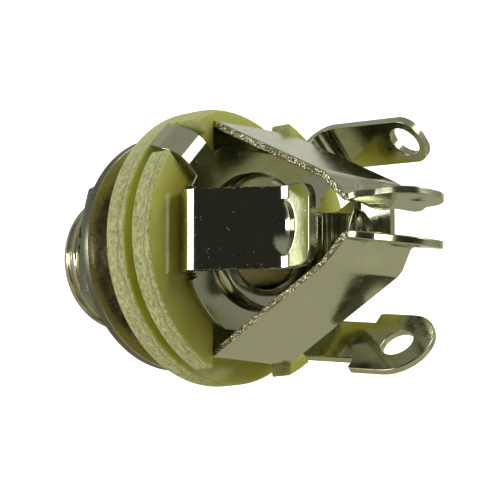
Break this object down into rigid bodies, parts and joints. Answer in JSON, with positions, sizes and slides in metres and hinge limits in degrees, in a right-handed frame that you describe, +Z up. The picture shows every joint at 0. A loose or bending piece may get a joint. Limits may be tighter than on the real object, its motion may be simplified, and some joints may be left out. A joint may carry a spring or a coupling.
{
  "type": "guitar output jack",
  "caption": "Open-frame quarter-inch panel jack with a threaded bushing, nut, washer, laminate discs, sprung tip arms, sprung sleeve contacts and solder lugs.",
  "frame": {"origin": "on the jack's axis, in the plane of the bushing flange's face that seats on the panel", "axes": "+X along the jack's axis to the rear, where the spring contacts are; -X out of the bushing's mouth, the way the plug leaves; +Z up, towards the upper tip arm"},
  "size_m": [0.0312, 0.0195, 0.019],
  "materials": {
    "plated_brass": "nickel plated",
    "plated_steel": "nickel plated",
    "laminate": "smooth faces, rough punched rims",
    "tube": "matt"
  },
  "bodies": {
    "root": {"bushing": "plated_brass", "hex_nut": "plated_steel", "flat_washer": "plated_steel", "front_insulator": "laminate", "insulating_tube": "tube", "tip_contact": "plated_steel", "rear_insulator": "laminate", "ground_contact": "plated_steel"}
  },
  "joints": []
}
